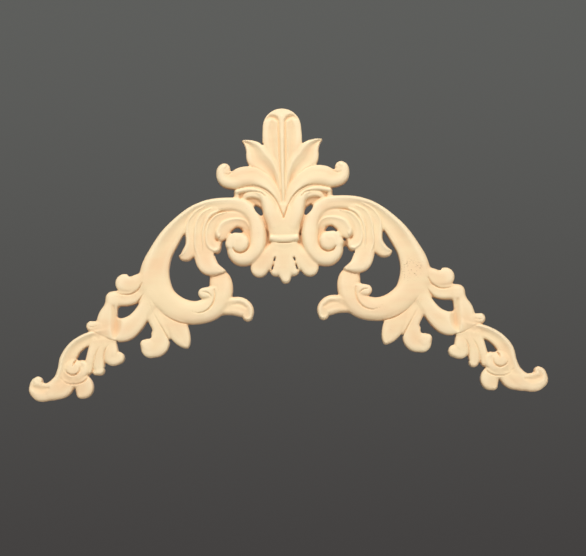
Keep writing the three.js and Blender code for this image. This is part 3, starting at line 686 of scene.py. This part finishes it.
@dataclass
class Onlay:
    """The carved onlay: one closed mesh with a flat back, sawn sides and the relief on its front.

    Lengths are in mm. The drawing was measured in a picture taken at a slant, so the onlay is a little taller
    than it is drawn.
    """

    relief: Relief
    name: str = "onlay_carving"
    half_width: float = 151.6
    bottom: float = -94.0
    top: float = 74.4
    taller: float = 1.007
    spacing: float = 0.45
    edge_radius: float = 0.6
    wall_steps: tuple[float, ...] = (0.90, 0.55, 0.0)
    unevenness: float = 0.07
    unevenness_length: float = 6.0
    slope_probe: float = 0.02
    least_slope: float = 0.3
    fit_rounds: int = 3
    even_out_rounds: int = 2
    refit_rounds: int = 2
    poor_cell: float = 0.05
    lost_cell: float = 0.03
    lowest_carved: float = 3.0
    recess_rounds: int = 170

    def build(self) -> bpy.types.Object:
        """Models the onlay.

        Returns:
            The finished object, at the origin, in metres.
        """
        bm = bmesh.new()
        self.lay_grid(bm)
        self.fit_to_outline(bm)
        self.tidy_loose(bm)
        self.even_out(bm)
        while self.open_crossings(bm):
            self.tidy_loose(bm)
        self.raise_front(list(bm.verts))
        self.add_walls_and_back(bm)
        bmesh.ops.scale(bm, vec=(MM, MM, MM * self.taller), verts=bm.verts)
        open_edges = sum(not edge.is_contiguous for edge in bm.edges)
        mesh = bpy.data.meshes.new(self.name)
        bm.to_mesh(mesh)
        bm.free()
        self.note_recesses(mesh)
        obj = bpy.data.objects.new(self.name, mesh)
        bpy.context.scene.collection.objects.link(obj)
        mesh.calc_loop_triangles()
        LOG.info("%s: %d triangles, %d open edges", self.name, len(mesh.loop_triangles), open_edges)
        return obj

    def lay_grid(self, bm: bmesh.types.BMesh) -> None:
        """Lays a flat grid over the front and drops what is clear of the outline.

        Args:
            bm: the empty mesh.
        """
        wide, tall = 2 * self.half_width, self.top - self.bottom
        columns, rows = round(wide / self.spacing), round(tall / self.spacing)
        bmesh.ops.create_grid(bm, x_segments=columns, y_segments=rows, size=0.5)
        bmesh.ops.scale(bm, vec=(wide, tall, 1.0), verts=bm.verts)
        bmesh.ops.rotate(bm, cent=(0, 0, 0), matrix=Matrix.Rotation(math.pi / 2, 3, "X"), verts=bm.verts)
        bmesh.ops.translate(bm, vec=(0, 0, (self.top + self.bottom) / 2), verts=bm.verts)
        reach = self.reach_of(list(bm.verts))
        far = [vert for vert, inside in zip(bm.verts, reach) if inside < -self.spacing]
        bmesh.ops.delete(bm, geom=far, context="VERTS")

    def reach_of(self, verts: list[bmesh.types.BMVert]) -> Array:
        """How far inside the outline each vertex is, in mm."""
        x, z = self.places(verts)
        return self.relief.measure(x, z, outline_only=True)[0]

    @staticmethod
    def places(verts: list[bmesh.types.BMVert]) -> tuple[Array, Array]:
        """The x and z of vertices."""
        co = np.array([vert.co for vert in verts])
        return co[:, 0].copy(), co[:, 2].copy()

    def pull_to_outline(self, verts: list[bmesh.types.BMVert], rounds: int) -> None:
        """Moves vertices onto the outline along its slope.

        Args:
            verts: the vertices.
            rounds: how often each is moved.
        """
        x, z = self.places(verts)
        probe = self.slope_probe
        for _ in range(rounds):
            reach = self.relief.measure(x, z, outline_only=True)[0]
            slope_x = (self.relief.measure(x + probe, z, outline_only=True)[0] - reach) / probe
            slope_z = (self.relief.measure(x, z + probe, outline_only=True)[0] - reach) / probe
            steep = np.maximum(slope_x**2 + slope_z**2, self.least_slope)
            step = np.clip(reach / steep, -self.spacing, self.spacing)
            x -= step * slope_x
            z -= step * slope_z
        for vert, new_x, new_z in zip(verts, x, z):
            vert.co.x, vert.co.z = new_x, new_z

    def fit_to_outline(self, bm: bmesh.types.BMesh) -> None:
        """Moves the vertices nearest the outline onto it, and trims the grid there.

        Args:
            bm: the flat sheet.
        """
        verts = list(bm.verts)
        reach = self.reach_of(verts)
        close = [vert for vert, inside in zip(verts, reach) if abs(inside) < self.spacing / 2]
        outside = {vert for vert, inside in zip(verts, reach) if inside <= -self.spacing / 2}
        self.pull_to_outline(close, self.fit_rounds)
        for face in list(bm.faces):
            corners = list(face.verts)
            out = [vert for vert in corners if vert in outside]
            if len(out) == 1:
                at = corners.index(out[0])
                bmesh.utils.face_split(face, corners[at - 1], corners[(at + 1) % len(corners)])
        bmesh.ops.delete(bm, geom=list(outside), context="VERTS")
        poor = [face for face in bm.faces if self.spoilt(face, self.poor_cell)]
        bmesh.ops.delete(bm, geom=poor, context="FACES")

    def tidy_loose(self, bm: bmesh.types.BMesh) -> None:
        """Removes spots where the sheet touches itself at a corner only, and loose scraps.

        Args:
            bm: the flat sheet.
        """
        while True:
            pinched = [vert for vert in bm.verts if sum(edge.is_boundary for edge in vert.link_edges) > 2]
            if not pinched:
                break
            faces = {face for vert in pinched for face in vert.link_faces}
            bmesh.ops.delete(bm, geom=list(faces), context="FACES")
        unseen = set(bm.verts)
        parts = []
        while unseen:
            part = {unseen.pop()}
            front = list(part)
            while front:
                vert = front.pop()
                for edge in vert.link_edges:
                    other = edge.other_vert(vert)
                    if other not in part:
                        part.add(other)
                        front.append(other)
            unseen -= part
            parts.append(part)
        parts.sort(key=len)
        for scrap in parts[:-1]:
            bmesh.ops.delete(bm, geom=list(scrap), context="VERTS")
        LOG.info("outline: %d scraps removed", len(parts) - 1)

    def even_out(self, bm: bmesh.types.BMesh) -> None:
        """Spaces the vertices at the outline evenly, and relaxes the ones just inside it.

        Args:
            bm: the flat sheet.
        """
        rim = [vert for vert in bm.verts if vert.is_boundary]
        rim_set = set(rim)
        band = {edge.other_vert(vert) for vert in rim for edge in vert.link_edges} - rim_set
        band |= {edge.other_vert(vert) for vert in band for edge in vert.link_edges} - rim_set
        for _ in range(self.even_out_rounds):
            kept = [vert.co.copy() for vert in rim]
            targets = []
            for vert in rim:
                beside = [edge.other_vert(vert).co for edge in vert.link_edges if edge.is_boundary]
                targets.append(0.5 * vert.co + 0.25 * (beside[0] + beside[1]))
            for vert, target in zip(rim, targets):
                vert.co = target
            self.pull_to_outline(rim, self.refit_rounds)
            for vert, place in zip(rim, kept):
                if any(self.spoilt(face, self.lost_cell) for face in vert.link_faces):
                    vert.co = place
            bmesh.ops.smooth_vert(bm, verts=list(band), factor=0.5, use_axis_x=True, use_axis_z=True)

    def open_crossings(self, bm: bmesh.types.BMesh) -> int:
        """Widens the notches where one side of the outline has crossed the other.

        Args:
            bm: the flat sheet.

        Returns:
            How many crossings there were.
        """
        rim = [edge for edge in bm.edges if edge.is_boundary]
        tree = KDTree(len(rim))
        middles = [(edge.verts[0].co + edge.verts[1].co) / 2 for edge in rim]
        for index, middle in enumerate(middles):
            tree.insert(middle, index)
        tree.balance()
        crossed = set()
        count = 0
        for index, edge in enumerate(rim):
            for _, other_index, _ in tree.find_range(middles[index], 2 * self.spacing):
                other = rim[other_index]
                if other_index <= index or set(edge.verts) & set(other.verts):
                    continue
                ends = [vert.co.xz for vert in (*edge.verts, *other.verts)]
                if intersect_line_line_2d(*ends) is not None:
                    crossed |= {*edge.verts, *other.verts}
                    count += 1
        faces = {face for vert in crossed for face in vert.link_faces}
        bmesh.ops.delete(bm, geom=list(faces), context="FACES")
        return count

    def spoilt(self, face: bmesh.types.BMFace, least_share: float) -> bool:
        """Whether a face of the flat sheet is turned over or nearly gone.

        Args:
            face: the face.
            least_share: the share of a grid cell under which it is nearly gone.

        Returns:
            Whether it is.
        """
        face.normal_update()
        return face.normal.y > UNTURNED or face.calc_area() < least_share * self.spacing**2

    def raise_front(self, verts: list[bmesh.types.BMVert]) -> None:
        """Gives the sheet the carved relief, rounded over at the outline.

        Args:
            verts: all of the sheet's vertices.
        """
        x, z = self.places(verts)
        reach, top = self.relief.measure(x, z)
        inward = np.clip(reach, 0.0, self.edge_radius)
        drop = self.edge_radius - np.sqrt(self.edge_radius**2 - (self.edge_radius - inward) ** 2)
        for vert, height, fall in zip(verts, top, drop):
            place = Vector((vert.co.x, 0.0, vert.co.z)) / self.unevenness_length
            vert.co.y = fall - height - self.unevenness * noise.noise(place)

    def add_walls_and_back(self, bm: bmesh.types.BMesh) -> None:
        """Draws the outline back in steps, each a share of the height that is left, and closes the back.

        Args:
            bm: the carved sheet.
        """
        ring = [edge for edge in bm.edges if edge.is_boundary]
        for share in self.wall_steps:
            made = bmesh.ops.extrude_edge_only(bm, edges=ring)["geom"]
            for vert in (item for item in made if isinstance(item, bmesh.types.BMVert)):
                vert.co.y *= share
            ring = [item for item in made if isinstance(item, bmesh.types.BMEdge) and item.is_boundary]
        bmesh.ops.triangle_fill(bm, use_beauty=True, use_dissolve=False, edges=ring, normal=(0, 1, 0))
        for face in bm.faces:
            face.smooth = True
        for edge in ring:
            edge.smooth = False

    def note_recesses(self, mesh: bpy.types.Mesh) -> None:
        """Stores how far each point lies below or above the wood around it, for the finish: painted shade,
        painted highlight and roughness.

        Args:
            mesh: the finished mesh.
        """
        count = len(mesh.vertices)
        co = np.zeros(count * 3)
        mesh.vertices.foreach_get("co", co)
        height = -co.reshape(-1, 3)[:, 1] / MM
        ends = np.zeros(len(mesh.edges) * 2, dtype=np.int32)
        mesh.edges.foreach_get("vertices", ends)
        ends = ends.reshape(-1, 2)
        carved = height > self.lowest_carved
        ends = ends[carved[ends].all(axis=1)]
        links = np.maximum(np.bincount(ends.ravel(), minlength=count), 1)
        first, second = ends[:, 0], ends[:, 1]
        level = height.copy()
        for _ in range(self.recess_rounds):
            total = np.bincount(first, level[second], count) + np.bincount(second, level[first], count)
            level = np.where(carved & (links > 1), 0.5 * level + 0.5 * total / links, level)
        recess = np.where(carved, level - height, 0.0)
        attribute = mesh.attributes.new(RECESS, "FLOAT", "POINT")
        attribute.data.foreach_set("value", recess.astype(np.float32))


@dataclass(frozen=True)
class Grain:
    """Noise that may be stretched: how many cells a mm holds along each axis, finer octaves, and a seed."""

    cells: Place
    detail: float
    seed: float


@dataclass(frozen=True)
class Span:
    """A smooth step of a value, from 0 at its start to its share at its end."""

    start: float
    end: float
    share: float = 1.0


class Value:
    """A number that varies over a surface. Sums and products of it add Math nodes."""

    def __init__(self, graph: "Graph", socket: bpy.types.NodeSocket) -> None:
        """Wraps a socket of a graph."""
        self.graph = graph
        self.socket = socket

    def maths(self, operation: str, other: object) -> "Value":
        """One Math node, with this value as its first input."""
        return self.graph.maths(operation, self, other)

    def __add__(self, other: object) -> "Value":
        """This value plus another."""
        return self.maths("ADD", other)

    def __sub__(self, other: object) -> "Value":
        """This value less another."""
        return self.maths("SUBTRACT", other)

    def __mul__(self, other: object) -> "Value":
        """This value times another."""
        return self.maths("MULTIPLY", other)

    def __rsub__(self, other: object) -> "Value":
        """Another value less this one."""
        return self.graph.maths("SUBTRACT", other, self)

    __radd__ = __add__
    __rmul__ = __mul__


class Graph:
    """The nodes of one material."""

    def __init__(self, name: str) -> None:
        """Starts an empty material with a shader and an output.

        Args:
            name: the material's name.
        """
        self.material = bpy.data.materials.new(name)
        self.material.use_nodes = True
        self.tree = self.material.node_tree
        self.tree.nodes.clear()
        self.shader = self.tree.nodes.new("ShaderNodeBsdfPrincipled")
        output = self.tree.nodes.new("ShaderNodeOutputMaterial")
        self.tree.links.new(self.shader.outputs["BSDF"], output.inputs["Surface"])

    def node(self, kind: str, settings: dict[str, object] | None = None,
             inputs: dict[str | int, object] | None = None) -> bpy.types.Node:
        """Adds a node.

        Args:
            kind: the node's type, without its prefix.
            settings: properties that are set first.
            inputs: a value or a link for each named or numbered socket.

        Returns:
            The node.
        """
        made = self.tree.nodes.new("ShaderNode" + kind)
        for key, value in (settings or {}).items():
            setattr(made, key, value)
        for key, value in (inputs or {}).items():
            self.feed(made.inputs[key], value)
        return made

    def feed(self, socket: bpy.types.NodeSocket, value: object) -> None:
        """Links or sets one input socket.

        Args:
            socket: the socket.
            value: a value or a link, or a constant.
        """
        if isinstance(value, Value):
            self.tree.links.new(value.socket, socket)
        elif isinstance(value, bpy.types.NodeSocket):
            self.tree.links.new(value, socket)
        else:
            socket.default_value = value

    def maths(self, operation: str, first: object, second: object) -> Value:
        """One Math node on two values or numbers."""
        made = self.node("Math", {"operation": operation}, {0: first, 1: second})
        return Value(self, made.outputs[0])

    def stepped(self, value: Value, span: Span) -> Value:
        """Takes a value through a smooth step.

        Args:
            value: the value.
            span: the step's ends and its share.

        Returns:
            A value from 0 to the share.
        """
        made = self.node("MapRange", {"interpolation_type": "SMOOTHSTEP"},
                         {"Value": value, "From Min": span.start, "From Max": span.end, "To Max": span.share})
        return Value(self, made.outputs["Result"])

    def streaks(self, place: bpy.types.NodeSocket, grain: Grain) -> Value:
        """Noise stretched along an axis.

        Args:
            place: the coordinates, in metres.
            grain: the noise.

        Returns:
            The noise, from 0 to 1.
        """
        moved = self.node("Mapping", None, {"Vector": place, "Location": (grain.seed,) * 3,
                                            "Scale": tuple(cells / MM for cells in grain.cells)})
        made = self.node("TexNoise", None, {"Vector": moved.outputs["Vector"], "Scale": 1.0,
                                            "Detail": grain.detail, "Roughness": OCTAVE_SHARE})
        return Value(self, made.outputs["Fac"])

    def along(self, vector: bpy.types.NodeSocket, axis: str) -> Value:
        """One component of a vector."""
        return Value(self, self.node("SeparateXYZ", None, {"Vector": vector}).outputs[axis])

    def mixed(self, factor: Value, first: object, second: object) -> bpy.types.NodeSocket:
        """Mixes two colours.

        Args:
            factor: the share of the second.
            first: a colour, or a link to one.
            second: a colour, or a link to one.

        Returns:
            The mixed colour.
        """
        made = self.node("Mix", {"data_type": "RGBA"},
                         {MIX_FACTOR: factor, MIX_FIRST: first, MIX_SECOND: second})
        return made.outputs[MIX_RESULT]


@dataclass(frozen=True)
class BareWood:
    """Bare sanded pale wood: fine straight grain along the onlay, short pores, warmer painted shade in
    hollows and on the sides, and painted highlight on crests.

    The spans named after a noise are in that noise, the upright and behind ones in the Y of the surface's
    direction, and the rest in mm.
    """

    name: str = "bare_pale_wood"
    pale: Colour = (0.88, 0.70, 0.44, 1.0)
    warm: Colour = (0.86, 0.61, 0.37, 1.0)
    # Painted shade: the warmer, darker colour laid into hollows.
    hollow: Colour = (0.76, 0.47, 0.25, 1.0)
    # Painted highlight: the paler colour laid onto raised crests.
    crest: Colour = (0.93, 0.79, 0.55, 1.0)
    pore: Colour = (0.50, 0.31, 0.16, 1.0)
    # Painted shade: the dark brown laid on the sides and low ground, deepest towards the back.
    sawn: Colour = (0.22, 0.11, 0.05, 1.0)
    cloud: Grain = Grain((0.022, 0.04, 0.05), 2.0, 1.3)
    bands: Grain = Grain((0.010, 0.30, 0.34), 3.0, 4.1)
    fibres: Grain = Grain((0.10, 2.2, 2.4), 3.0, 7.7)
    fine: Grain = Grain((0.45, 6.5, 7.0), 2.0, 2.9)
    dashes: Grain = Grain((0.55, 3.6, 4.2), 1.0, 9.4)
    patches: Grain = Grain((0.05, 0.10, 0.10), 1.0, 5.2)
    specks: Grain = Grain((0.9, 1.6, 1.6), 1.0, 6.6)
    band_share: float = 0.2
    cloud_span: Span = Span(0.38, 0.66)
    fibres_span: Span = Span(0.52, 0.78, 0.14)
    # Painted shade in hollows and painted highlight on crests, by how far the surface lies below or above the
    # wood around it.
    hollow_shade_span: Span = Span(0.03, 1.15, 0.85)
    crest_highlight_span: Span = Span(-0.05, -0.75, 0.55)
    dashes_span: Span = Span(0.70, 0.76)
    patches_span: Span = Span(0.45, 0.62)
    pore_share: float = 0.45
    # Painted shade on the sides and low ground, by depth towards the back and by how the surface faces.
    deep_shade_span: Span = Span(-6.2, -1.5)
    deep_shade_share: float = 0.9
    upright_span: Span = Span(-0.5, -0.2, 0.3)
    behind_span: Span = Span(0.5, 0.9)
    pit_centre: Place = (0.0725, -0.008, -0.0215)
    pit_core: float = 0.45
    pit_reach: float = 0.0085
    specks_span: Span = Span(0.60, 0.68)
    pit_share: float = 0.8
    roughness: float = 0.62
    fine_roughness: float = 0.10
    polish_span: Span = Span(-0.1, -0.8, 0.06)
    specular: float = 0.35
    fine_height: float = 0.25
    fibre_height: float = 0.45
    pore_depth: float = 1.2
    pit_depth: float = 2.5
    bump_strength: float = 0.35
    bump_height: float = 0.06

    def material(self) -> bpy.types.Material:
        """Builds the finish.

        Returns:
            The material.
        """
        g = Graph(self.name)
        coordinates = g.node("TexCoord")
        place = coordinates.outputs["Object"]
        facing = g.along(coordinates.outputs["Normal"], "Y")
        recess = Value(g, g.node("Attribute", {"attribute_name": RECESS}).outputs["Fac"])
        fibres = g.streaks(place, self.fibres)
        fine = g.streaks(place, self.fine)
        pores = self.pores(g, place)
        pits = self.pits(g, place)
        base = self.grain_colour(g, place, fibres)
        # Painted shade: hollows turn warmer and darker by how far they lie below the wood around them.
        base = g.mixed(g.stepped(recess, self.hollow_shade_span), base, self.hollow)
        # Painted highlight: crests turn paler by how far they stand above the wood around them.
        base = g.mixed(g.stepped(recess, self.crest_highlight_span), base, self.crest)
        base = g.mixed(pores * self.pore_share, base, self.pore)
        # Painted shade: sides and low ground darken towards the back, the back itself left out.
        base = g.mixed(self.painted_deep_shade_mask(g, place, facing), base, self.sawn)
        base = g.mixed(pits * self.pit_share, base, self.pore)
        g.feed(g.shader.inputs["Base Color"], base)
        roughness = self.roughness + fine * self.fine_roughness - g.stepped(recess, self.polish_span)
        g.feed(g.shader.inputs["Roughness"], roughness)
        g.shader.inputs["Specular IOR Level"].default_value = self.specular
        grain = fine * self.fine_height + fibres * self.fibre_height
        relief = grain - pores * self.pore_depth - pits * self.pit_depth
        bump = g.node("Bump", None, {"Strength": self.bump_strength, "Distance": self.bump_height * MM,
                                     "Height": relief})
        g.feed(g.shader.inputs["Normal"], bump.outputs["Normal"])
        return g.material

    def grain_colour(self, g: Graph, place: bpy.types.NodeSocket, fibres: Value) -> bpy.types.NodeSocket:
        """The plain wood: soft clouds and bands of a warmer tone, with fine fibres in it.

        Args:
            g: the material's graph.
            place: the coordinates, in metres.
            fibres: the noise of the fibres.

        Returns:
            The colour.
        """
        cloud = g.streaks(place, self.cloud)
        bands = g.streaks(place, self.bands)
        tone = g.stepped(cloud * (1.0 - self.band_share) + bands * self.band_share, self.cloud_span)
        return g.mixed(g.stepped(fibres, self.fibres_span), g.mixed(tone, self.pale, self.warm), self.warm)

    def pores(self, g: Graph, place: bpy.types.NodeSocket) -> Value:
        """Short dark dashes along the grain, in patches."""
        dashes = g.stepped(g.streaks(place, self.dashes), self.dashes_span)
        return dashes * g.stepped(g.streaks(place, self.patches), self.patches_span)

    def pits(self, g: Graph, place: bpy.types.NodeSocket) -> Value:
        """Coarse pits round one spot on the right arm.

        Args:
            g: the material's graph.
            place: the coordinates, in metres.

        Returns:
            Where they are.
        """
        away = g.node("VectorMath", {"operation": "DISTANCE"}, {0: place, 1: self.pit_centre})
        fade = Span(self.pit_core * self.pit_reach, self.pit_reach)
        specks = g.stepped(g.streaks(place, self.specks), self.specks_span)
        return specks * (1.0 - g.stepped(Value(g, away.outputs["Value"]), fade))

    def painted_deep_shade_mask(self, g: Graph, place: bpy.types.NodeSocket, facing: Value) -> Value:
        """Painted shade on the sawn sides and the low ground, darker towards the back, but not on the back
        itself.

        Args:
            g: the material's graph.
            place: the coordinates, in metres.
            facing: the Y of the surface's direction.

        Returns:
            How dark each point is.
        """
        depth = g.stepped(g.along(place, "Y") * (1.0 / MM), self.deep_shade_span)
        shade = self.deep_shade_share - g.stepped(facing, self.upright_span)
        return depth * shade * (1.0 - g.stepped(facing, self.behind_span))


@dataclass(frozen=True)
class Lamp:
    """A square area light: its place and side in metres, and its power in watts."""

    name: str
    place: Place
    side: float
    power: float


@dataclass
class Studio:
    """Floor, soft lights and the camera. None of it is part of the onlay."""

    lamps: tuple[Lamp, ...] = (
        Lamp("key_light", (-0.15, -1.1, 1.25), 1.0, 28.4),
        Lamp("front_fill", (0.5, -1.9, 0.1), 1.6, 13.5),
        Lamp("back_fill", (0.4, 1.7, 0.6), 1.6, 16.0),
    )
    lamp_colour: tuple[float, float, float] = (1.0, 0.975, 0.94)
    lamp_aim: Place = (0.0, 0.0, -0.02)
    camera_distance: float = 1.2
    camera_elevation: float = -5.5
    image_width: float = 586.0
    picture_scale: float = 517.6 / 0.3
    aim: Place = (0.0047, -0.005, -0.0253)
    roll: float = 1.18
    sensor: float = 36.0
    high_grey: Colour = (0.114, 0.116, 0.110, 1.0)
    low_grey: Colour = (0.053, 0.049, 0.048, 1.0)
    grey_span: Span = Span(-0.10, 0.27)
    floor_height: float = -0.9
    floor_half_width: float = 8.0
    floor_dark: Colour = (0.62, 0.61, 0.59, 1.0)
    floor_light: Colour = (0.68, 0.67, 0.65, 1.0)
    floor_mottle: Grain = Grain((0.002, 0.002, 0.002), 2.0, 0.0)
    floor_roughness: float = 0.8

    def build(self) -> None:
        """Makes everything."""
        scene = bpy.context.scene
        scene.view_settings.view_transform = "Standard"
        world = bpy.data.worlds.new("studio_air")
        world.use_nodes = True
        self.shade_air(world.node_tree)
        scene.world = world
        self.floor()
        for lamp in self.lamps:
            self.hang(lamp)
        self.camera()

    def shade_air(self, tree: bpy.types.NodeTree) -> None:
        """Makes the air round the studio a dark grey that is lighter towards the top.

        Args:
            tree: the nodes of the world.
        """
        place = tree.nodes.new("ShaderNodeTexCoord")
        parts = tree.nodes.new("ShaderNodeSeparateXYZ")
        rise = tree.nodes.new("ShaderNodeMapRange")
        rise.interpolation_type = "SMOOTHSTEP"
        rise.inputs["From Min"].default_value = self.grey_span.start
        rise.inputs["From Max"].default_value = self.grey_span.end
        shade = tree.nodes.new("ShaderNodeMix")
        shade.data_type = "RGBA"
        shade.inputs[MIX_FIRST].default_value = self.low_grey
        shade.inputs[MIX_SECOND].default_value = self.high_grey
        tree.links.new(place.outputs["Generated"], parts.inputs["Vector"])
        tree.links.new(parts.outputs["Z"], rise.inputs["Value"])
        tree.links.new(rise.outputs["Result"], shade.inputs[MIX_FACTOR])
        tree.links.new(shade.outputs[MIX_RESULT], tree.nodes["Background"].inputs["Color"])

    def floor(self) -> None:
        """A plain pale floor, well below the onlay."""
        bm = bmesh.new()
        bmesh.ops.create_grid(bm, x_segments=2, y_segments=2, size=self.floor_half_width)
        bmesh.ops.translate(bm, vec=(0, 0, self.floor_height), verts=bm.verts)
        mesh = bpy.data.meshes.new("pale_floor")
        bm.to_mesh(mesh)
        bm.free()
        g = Graph("pale_floor")
        place = g.node("TexCoord").outputs["Object"]
        mottle = g.streaks(place, self.floor_mottle)
        g.feed(g.shader.inputs["Base Color"], g.mixed(mottle, self.floor_dark, self.floor_light))
        g.shader.inputs["Roughness"].default_value = self.floor_roughness
        mesh.materials.append(g.material)
        obj = bpy.data.objects.new("pale_floor", mesh)
        bpy.context.scene.collection.objects.link(obj)

    def hang(self, lamp: Lamp) -> None:
        """Hangs a lamp and aims it at the onlay.

        Args:
            lamp: the lamp.
        """
        data = bpy.data.lights.new(lamp.name, "AREA")
        data.size = lamp.side
        data.energy = lamp.power
        data.color = self.lamp_colour
        obj = bpy.data.objects.new(lamp.name, data)
        obj.location = lamp.place
        beam = Vector(self.lamp_aim) - Vector(lamp.place)
        obj.rotation_euler = beam.to_track_quat("-Z", "Y").to_euler()
        bpy.context.scene.collection.objects.link(obj)

    def camera(self) -> None:
        """The camera, from the front and slightly below, turned as the picture is."""
        data = bpy.data.cameras.new("camera")
        data.sensor_width = self.sensor
        data.lens = self.sensor * self.camera_distance * self.picture_scale / self.image_width
        obj = bpy.data.objects.new("camera", data)
        elevation = math.radians(self.camera_elevation)
        back = Vector((0.0, -math.cos(elevation), math.sin(elevation)))
        turn = Matrix.Rotation(math.radians(self.roll), 4, -back)
        stand = (-back).to_track_quat("-Z", "Y").to_matrix().to_4x4()
        place = Matrix.Translation(Vector(self.aim) + back * self.camera_distance)
        obj.matrix_world = place @ turn @ stand
        bpy.context.scene.collection.objects.link(obj)
        bpy.context.scene.camera = obj


def main() -> None:
    """Builds the onlay and the studio, and reports each piece."""
    logging.basicConfig(level=logging.INFO, format="%(name)s: %(message)s")
    Studio().build()
    LOG.info("studio: floor, lights and camera")
    carving = Onlay(Relief(all_strokes())).build()
    carving.data.materials.append(BareWood().material())
    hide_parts("corner_onlay")
    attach(carving, "root")


if __name__ == "__main__":
    main()
